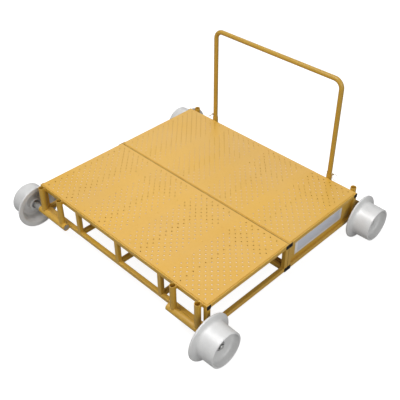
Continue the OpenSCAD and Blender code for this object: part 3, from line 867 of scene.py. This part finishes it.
def hex_bolt(name, flats, head, radius, length, pitch=1.5 * MM, threaded=25 * MM):
    """Chamfered hexagon head below z = 0, shank along +Z with a thread at its end."""
    cap = hexagon(flats, head, -head / 2)
    pick(cap, "edges", lambda middle, edge: all(v.co.z < -head + 1e-5 for v in edge.verts))
    bpy.ops.mesh.bevel(offset=0.09 * flats, segments=2)
    deselect()
    smooth(cap, 25)
    turns = int(threaded / pitch)
    start = length - turns * pitch
    outline = [(0, -0.5 * MM), (radius, -0.5 * MM), (radius, start)]
    for turn in range(turns):
        outline += [(radius - 0.55 * pitch, start + (turn + 0.5) * pitch),
                    (radius, start + (turn + 1) * pitch)]
    outline += [(radius - 0.6 * pitch, length + 0.5 * pitch), (0, length + 0.5 * pitch)]
    return joined([cap, lathe("shank", outline, 20)], name)


def hex_nut(name, flats, height, bore):
    """Hexagon nut standing on z = 0, chamfered on both faces."""
    nut = hexagon(flats, height, height / 2)
    pick(nut, "edges", lambda middle, edge: abs(edge.verts[0].co.z - edge.verts[1].co.z) < 1e-5)
    bpy.ops.mesh.bevel(offset=0.06 * flats, segments=2)
    pick(nut, "faces", lambda middle, face: abs(face.normal.z) > 0.99)
    bpy.ops.mesh.inset(thickness=flats / 2 - bore - 0.06 * flats)
    bpy.ops.mesh.delete(type="FACE")
    deselect()
    smooth(nut, 25)
    collar = lathe("nut_bore", [(bore - 0.2 * MM, 0.3 * MM), (bore + 1.2 * MM, 0.05 * MM),
                                (bore + 1.2 * MM, height - 0.05 * MM),
                                (bore - 0.2 * MM, height - 0.3 * MM)], 20)
    return joined([nut, collar], name)


def rivet(name, radius, height):
    """Domed head standing on z = 0 with a dimple where its mandrel broke off."""
    rise = arc((0, height - radius * 1.6), radius * 1.6, 40, 80, 4)
    outline = [(0, -height), (radius, -height), (radius, rise[0][1] * 0.2)] + rise
    outline += [(radius * 0.2, height * 0.5), (0, height * 0.45)]
    return lathe(name, outline, 16)


def laid(piece, spots, rotation):
    """Copies of a piece at several places, all turned the same way."""
    copies = []
    for spot in spots:
        twin = copied(piece, "copy")
        place(twin, spot, rotation)
        copies.append(twin)
    return copies


def spread(piece, name, spots, rotation=(0, 0, 0)):
    """Copies of a piece at several places, joined into one; the first piece is used up."""
    copies = laid(piece, spots, rotation)
    bpy.data.objects.remove(piece)
    return joined(copies, name)


# ---------------------------------------------------------------- axles, washers and circlips
JOURNAL_R = 12.5 * MM
BODY_R = AXLE_TUBE_R - 3.5 * MM
WASHER_AT = HUB_OUT + 0.3 * MM
CLIP_AT = WASHER_AT + 2.3 * MM
CLIP_T = 1.2 * MM
AXLE_END = CLIP_AT + CLIP_T + 7 * MM
SHOULDER = HUB_IN - 2 * MM
AXLE_START = HALF_LENGTH - WHEEL_X - AXLE_TUBE_LENGTH + 3 * MM


def stub_axle(name):
    """Ground axle: body for the tube, journal, circlip groove and a centred end."""
    groove_r = JOURNAL_R - 0.8 * MM
    outline = [(0, AXLE_START), (BODY_R - 1 * MM, AXLE_START), (BODY_R, AXLE_START + 1 * MM)]
    outline += [(BODY_R, SHOULDER - 1 * MM), (BODY_R - 1 * MM, SHOULDER)]
    outline += [(JOURNAL_R, SHOULDER), (JOURNAL_R, CLIP_AT - 0.2 * MM)]
    outline += [(groove_r, CLIP_AT - 0.2 * MM), (groove_r, CLIP_AT + CLIP_T + 0.2 * MM)]
    outline += [(JOURNAL_R, CLIP_AT + CLIP_T + 0.2 * MM), (JOURNAL_R, AXLE_END - 1.5 * MM)]
    outline += [(JOURNAL_R - 1.5 * MM, AXLE_END), (3.2 * MM, AXLE_END)]
    outline += [(1.6 * MM, AXLE_END - 2.6 * MM), (1.6 * MM, AXLE_END - 5 * MM)]
    outline += [(0, AXLE_END - 6 * MM)]
    return lathe(name, outline, 64)


def circlip(name):
    """Open spring ring with a drilled lug at each end, its gap towards -Y."""
    inner = JOURNAL_R - 0.7 * MM
    outer = inner + 4 * MM
    half_gap = math.radians(24)
    ring = lathe("clip_ring", [(inner, 0), (outer, 0), (outer, CLIP_T), (inner, CLIP_T)], 40,
                 turn=2 * math.pi - 2 * half_gap)
    place(ring, rotation=(0, 0, -math.pi / 2 + half_gap))
    pieces = [ring]
    for side in (-1, 1):
        lug = lathe("clip_lug", [(0.9 * MM, 0), (2.6 * MM, 0), (2.6 * MM, CLIP_T),
                                 (0.9 * MM, CLIP_T)], 16)
        reach = (inner + outer) / 2 + 0.9 * MM
        turn = -math.pi / 2 + side * half_gap * 0.86
        place(lug, (reach * math.cos(turn), reach * math.sin(turn), 0))
        pieces.append(lug)
    return joined(pieces, name)


master_axle = stub_axle("master_axle")
master_clip = circlip("master_clip")
master_washer = lathe("master_washer", [
    (JOURNAL_R + 0.2 * MM, 0.2 * MM), (JOURNAL_R + 0.4 * MM, 0), (18.6 * MM, 0),
    (19 * MM, 0.4 * MM), (19 * MM, 1.6 * MM), (18.6 * MM, 2 * MM),
    (JOURNAL_R + 0.4 * MM, 2 * MM), (JOURNAL_R + 0.2 * MM, 1.8 * MM)], 64)
washers = []
clips = []
for corner, (sx, sy) in WHEELS.items():
    axle = copied(master_axle, corner + "_stub_axle")
    at_corner(axle, sx, sy, 0)
    dress(axle, "frame", "bright_steel", [corner + "_axle"])
    washer = copied(master_washer, "washer")
    at_corner(washer, sx, sy, WASHER_AT)
    washers.append(washer)
    clip = copied(master_clip, "clip")
    at_corner(clip, sx, sy, CLIP_AT)
    clips.append(clip)
for master in (master_axle, master_clip, master_washer):
    bpy.data.objects.remove(master)
dress(joined(washers, "thrust_washers"), "frame", "bright_steel", ["axle_washers"])
dress(joined(clips, "spring_circlips"), "frame", "black_steel", ["axle_circlips"])


# ---------------------------------------------------------------- deck screws and rail plugs
def deck_screw(name):
    """Raised countersunk head with a driver socket, its rim level with the sheet."""
    rim = 4.75 * MM
    outline = [(0, -9 * MM), (2.2 * MM, -9 * MM), (2.5 * MM, -2.25 * MM), (rim, -0.1 * MM),
               (rim - 0.2 * MM, 0.15 * MM), (rim - 1.2 * MM, 0.55 * MM), (2.2 * MM, 0.8 * MM),
               (1.7 * MM, 0.6 * MM), (1.5 * MM, -1.4 * MM), (0, -1.7 * MM)]
    return lathe(name, outline, 18)


def rail_plug(name):
    """Moulded cap with a rounded face towards +X and a tapered plug behind it."""
    head = 3 * MM
    reach = 15 * MM
    taper = 0.94
    plug = cube_between(name, (0, -TUBE / 2, -TUBE / 2), (head, TUBE / 2, TUBE / 2))
    pick(plug, "edges", lambda middle, edge: abs(edge.verts[0].co.x - edge.verts[1].co.x) > 1e-4)
    bpy.ops.mesh.bevel(offset=TUBE_CORNER, segments=4)
    pick(plug, "edges", lambda middle, edge: all(v.co.x > head - 1e-5 for v in edge.verts))
    bpy.ops.mesh.bevel(offset=1.4 * MM, segments=3)
    pick(plug, "faces", lambda middle, face: face.normal.x < -0.99)
    bpy.ops.mesh.inset(thickness=TUBE_WALL + 0.3 * MM)
    bpy.ops.mesh.extrude_region_move(TRANSFORM_OT_translate={"value": (-reach, 0, 0)})
    bpy.ops.transform.resize(value=(1, taper, taper))
    deselect()
    smooth(plug, 35)
    return plug


def both_modules(front_piece, name, slot, node=None):
    """Dresses a front module piece and its half-turned copy for the rear module."""
    front_piece.name = "front_" + name
    rear_piece = half_turn(front_piece, "rear_" + name)
    for module, piece in (("front_", front_piece), ("rear_", rear_piece)):
        dress(piece, "frame", slot, [module + node] if node else ())


screw_spots = [(x, y, DECK_TOP) for x in CROSS_X for y in SCREW_Y]
screws = spread(deck_screw("deck_screw"), "deck_screws", screw_spots)
both_modules(screws, "countersunk_screws", "deck_paint", "deck_screws")

plug_spots = [(HALF_LENGTH, y, z) for y in (-MODULE_WIDTH + TUBE / 2, -TUBE / 2)
              for z in (BOTTOM_RAIL_Z, TOP_RAIL_Z)]
right_plugs = spread(rail_plug("rail_plug"), "right_plugs", plug_spots)
left_plugs = mirrored(right_plugs, "left_plugs", 0)
plugs = joined([right_plugs, left_plugs], "plugs")
both_modules(plugs, "moulded_plugs", "black_plastic", "rail_plugs")


# ---------------------------------------------------------------- bolts
COUPLING_X = 1.5 * PITCH
LOCK_X = HALF_LENGTH - 114 * MM
NUT_H = 8 * MM
coupling_spots = [(sx * COUPLING_X, -TUBE, z) for sx in (-1, 1)
                  for z in (BOTTOM_RAIL_Z, TOP_RAIL_Z)]
bolts = spread(hex_bolt("bolt", 17 * MM, 6.4 * MM, 5 * MM, 2 * TUBE + NUT_H + 2 * MM),
               "coupling_hex_bolts", coupling_spots, (-math.pi / 2, 0, 0))
dress(bolts, "frame", "plated_steel", ["coupling_bolts"])
nut_spots = [(x, TUBE, z) for x, y, z in coupling_spots]
nuts = spread(hex_nut("nut", 17 * MM, NUT_H, 5 * MM), "coupling_hex_nuts", nut_spots,
              (-math.pi / 2, 0, 0))
dress(nuts, "frame", "plated_steel", ["coupling_nuts"])
lock_spots = [(sx * LOCK_X, -AXLE_Y, AXLE_Z - AXLE_TUBE_R - 0.1 * MM) for sx in (-1, 1)]
locks = spread(hex_bolt("lock", 13 * MM, 5.3 * MM, 4 * MM, 3 * MM, 1.25 * MM, 2.5 * MM),
               "lock_bolts", lock_spots)
both_modules(locks, "lock_bolts", "black_steel", "lock_screws")


# ---------------------------------------------------------------- stop pins and rings
pin_low, pin_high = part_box("right_stop_pin")
PIN_Z = (pin_low.z + pin_high.z) / 2
EYE_R = 5.5 * MM
EYE_X = pin_high.x - EYE_R - HANDLE_X
RING_R = 19 * MM
RING_LEAN = math.radians(45)


def stop_pin(name):
    """Pin along +X from the leg's axis: rounded nose, collar and a cross-drilled eye."""
    nose = -HANDLE_R - 6 * MM
    outline = [(0, nose), (2.4 * MM, nose), (3.6 * MM, nose + 0.8 * MM), (4 * MM, nose + 2 * MM)]
    outline += [(4 * MM, HANDLE_R + 0.5 * MM), (5.4 * MM, HANDLE_R + 0.5 * MM)]
    outline += [(6 * MM, HANDLE_R + 1.1 * MM), (6 * MM, HANDLE_R + 2.9 * MM)]
    outline += [(5.4 * MM, HANDLE_R + 3.5 * MM), (4 * MM, HANDLE_R + 4.2 * MM)]
    outline += [(3.6 * MM, EYE_X - 3.5 * MM), (0, EYE_X - 3.5 * MM)]
    shank = lathe("pin_shank", outline, 28)
    place(shank, rotation=(0, math.pi / 2, 0))
    eye_outline = [(2 * MM, -2.2 * MM), (2.8 * MM, -3 * MM), (4.4 * MM, -3 * MM),
                   (EYE_R, -1.8 * MM), (EYE_R, 1.8 * MM), (4.4 * MM, 3 * MM),
                   (2.8 * MM, 3 * MM), (2 * MM, 2.2 * MM)]
    eye = lathe("pin_eye", eye_outline, 32)
    place(eye, rotation=(math.pi / 2, 0, 0))
    place(eye, (EYE_X, 0, 0))
    return joined([shank, eye], name)


def split_ring(name):
    """Double-turn wire ring hanging from the origin, leaning towards +X."""
    turns = []
    for side in (-1, 1):
        bpy.ops.mesh.primitive_torus_add(major_radius=RING_R, minor_radius=0.7 * MM,
                                         major_segments=64, minor_segments=8)
        turn = bpy.context.object
        place(turn, (side * 0.62 * MM, 0, -RING_R), (0, math.pi / 2, 0))
        turns.append(turn)
    ring = joined(turns, name)
    place(ring, rotation=(0, -RING_LEAN, 0))
    smooth(ring, 60)
    return ring


for make_piece, part, body, node, out in (
        (stop_pin, "eye_pin", "pin", "stop_pin", 0),
        (split_ring, "wire_ring", "ring", "pin_ring", EYE_X)):
    right_piece = make_piece("right_" + part)
    left_piece = half_turn(right_piece, "left_" + part)
    for side, sx, piece in (("right_", 1, right_piece), ("left_", -1, left_piece)):
        place(piece, (sx * (HANDLE_X + out), AXLE_Y, PIN_Z))
        dress(piece, side + body, "plated_steel", [side + node])


# ---------------------------------------------------------------- blank plate and panel rivets
def plate_rivet_spots(inset):
    return [(plate_high.x, y, z) for y in (plate_low.y + inset, plate_high.y - inset)
            for z in (plate_low.z + inset, plate_high.z - inset)]


FIELD_EDGE = 11 * MM
plate = block("blank_plate_sheet", plate_low, plate_high, 0.35 * MM)
dress(plate, "frame", "plate_white", ["blank_plate"])
field = block("blank_plate_field",
              (plate_high.x - 0.2 * MM, plate_low.y + 2 * FIELD_EDGE, plate_low.z + FIELD_EDGE),
              (plate_high.x + 0.25 * MM, plate_high.y - 2 * FIELD_EDGE,
               plate_high.z - FIELD_EDGE), 0.15 * MM)
dress(field, "frame", "plate_white", material=plate_field)
plate_rivets = spread(rivet("rivet", 3 * MM, 1.3 * MM), "plate_rivets",
                      plate_rivet_spots(6 * MM), (0, math.pi / 2, 0))
dress(plate_rivets, "frame", "plated_steel")
panel_spots = [(panel_high.x, panel_low.y + share * (panel_high.y - panel_low.y), z)
               for share in (0.02, 0.25, 0.5, 0.75, 0.98)
               for z in (panel_low.z + 7 * MM, panel_high.z - 6 * MM)]
panel_rivets = spread(rivet("rivet", 2.6 * MM, 1.2 * MM), "panel_rivets", panel_spots,
                      (0, math.pi / 2, 0))
dress(panel_rivets, "frame", "frame_paint")


# ---------------------------------------------------------------- welds
def weld_bead(name, length, radius):
    """A rippled bead along X, six-sided and pinched at both ends."""
    ripples = max(3, round(length / (1.15 * radius)))
    deselect()
    bpy.ops.mesh.primitive_cylinder_add(vertices=6, radius=radius, depth=length)
    bead = bpy.context.object
    bead.name = name
    place(bead, rotation=(0, math.pi / 2, 0))
    edit(bead)
    pick(bead, "edges", lambda middle, edge: abs(edge.verts[0].co.x - edge.verts[1].co.x)
         > length / 2)
    bpy.ops.mesh.subdivide(number_cuts=ripples)
    step = length / (ripples + 1)
    for ring in range(1, ripples + 1, 2):
        pick(bead, "verts", lambda middle, vert: abs(vert.co.x + length / 2 - ring * step)
             < step / 4)
        bpy.ops.transform.resize(value=(1, 0.72, 0.72))
    pick(bead, "verts", lambda middle, vert: abs(vert.co.x) > length / 2 - step / 4)
    bpy.ops.transform.resize(value=(1, 0.4, 0.4))
    deselect()
    smooth(bead, 50)
    return bead


ALONG_X = (0, 0, 0)
ALONG_Y = (0, 0, math.pi / 2)
ALONG_Z = (0, math.pi / 2, 0)


def cope_weld(name, x):
    """Bead round a socket's foot, dropped onto the axle tube's curve."""
    around = 28
    lift = 1.0  # far enough away that no moved point is picked twice
    ring_r = SOCKET_R + 0.7 * MM
    deselect()
    bpy.ops.mesh.primitive_torus_add(major_radius=ring_r, minor_radius=1.9 * MM,
                                     major_segments=around, minor_segments=6)
    bead = bpy.context.object
    bead.name = name
    edit(bead)
    for index in range(around):
        turn = 2 * math.pi * index / around
        across = ring_r * math.sin(turn)
        drop = math.sqrt(AXLE_TUBE_R ** 2 - across ** 2)
        ray = Vector((math.cos(turn), math.sin(turn), 0))
        pick(bead, "verts", lambda middle, vert: abs(vert.co.z) < 3 * MM
             and Vector((vert.co.x, vert.co.y, 0)).normalized().dot(ray) > 0.9985)
        bpy.ops.transform.translate(value=(0, 0, lift + drop))
    take_all()
    bpy.ops.transform.translate(value=(0, 0, -lift))
    deselect()
    smooth(bead, 60)
    place(bead, (x, -AXLE_Y, AXLE_Z))
    return bead


def right_half_welds():
    """The welds of the front module's right half."""
    outer_y = -MODULE_WIDTH
    inner_x = HALF_LENGTH - TUBE
    rails_z = (BOTTOM_RAIL_Z, TOP_RAIL_Z)
    seams_z = (POST_LOW, POST_HIGH)
    right_crosses = [x for x in CROSS_X if x > TUBE]
    fillet = weld_bead("fillet", TUBE - 3 * MM, 1.7 * MM)
    ground = weld_bead("ground", TUBE - 1 * MM, 1.0 * MM)
    stitch = weld_bead("stitch", 42 * MM, 2.8 * MM)
    beads = []
    post_sides = [x + side * TUBE / 2 for x in right_crosses for side in (-1, 1)]
    post_sides += [TUBE / 2, inner_x]
    beads += laid(fillet, [(x, outer_y + TUBE / 2, z) for x in post_sides for z in seams_z],
                  ALONG_Y)
    beads += laid(fillet, [(inner_x, -TUBE / 2, z) for z in seams_z], ALONG_Y)
    beads += laid(fillet, [(END_X, y, z) for y in (outer_y + TUBE, -TUBE) for z in seams_z],
                  ALONG_X)
    beads += laid(fillet, [(x, y, z) for x in post_sides for y in (outer_y + TUBE, -TUBE)
                           for z in rails_z], ALONG_Z)
    flush = right_crosses + [END_X]
    beads += laid(ground, [(x, outer_y + 0.55 * MM, z) for x in flush for z in seams_z],
                  ALONG_X)
    beads += laid(ground, [(HALF_LENGTH - 0.55 * MM, y, z) for z in seams_z
                           for y in (outer_y + TUBE / 2, -TUBE / 2)], ALONG_Y)
    tube_start = HALF_LENGTH - AXLE_TUBE_LENGTH
    stitches = [tube_start + share * AXLE_TUBE_LENGTH for share in (0.12, 0.42, 0.82)]
    beads += laid(stitch, [(x, outer_y, POST_LOW + 0.4 * MM) for x in stitches], ALONG_X)
    beads += laid(stitch, [(x, outer_y - 1.5 * MM, AXLE_Z - 11 * MM) for x in stitches],
                  ALONG_X)
    for x in (INNER_SOCKET_X, OUTER_SOCKET_X):
        beads.append(cope_weld("cope_weld", x))
        beads += laid(ground, [(x, outer_y - 0.2 * MM, TOP_RAIL_Z + side * 7.5 * MM)
                               for side in (-1, 1)], ALONG_X)
        beads += laid(ground, [(x + side * 10 * MM, outer_y - 10 * MM, TOP_RAIL_Z)
                               for side in (-1, 1)], ALONG_Z)
    for master in (fillet, ground, stitch):
        bpy.data.objects.remove(master)
    return joined(beads, "right_welds")


right_welds = right_half_welds()
left_welds = mirrored(right_welds, "left_welds", 0)
centre_ground = weld_bead("centre_ground", TUBE - 1 * MM, 1.0 * MM)
centre_welds = laid(centre_ground, [(0, -MODULE_WIDTH + 0.55 * MM, z)
                                    for z in (POST_LOW, POST_HIGH)], ALONG_X)
bpy.data.objects.remove(centre_ground)
welds = joined([right_welds, left_welds] + centre_welds, "welds")
both_modules(welds, "weld_beads", "frame_paint")

gusset_low, gusset_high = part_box("corner_gusset")
gusset_bead = weld_bead("gusset_bead", gusset_high.z - AXLE_Z - AXLE_TUBE_R - 4 * MM, 2.0 * MM)
gusset_spot = (gusset_low.x, MODULE_WIDTH, (gusset_high.z + AXLE_Z + AXLE_TUBE_R) / 2)
gusset_weld = spread(gusset_bead, "gusset_weld", [gusset_spot], ALONG_Z)
dress(gusset_weld, "frame", "frame_paint")
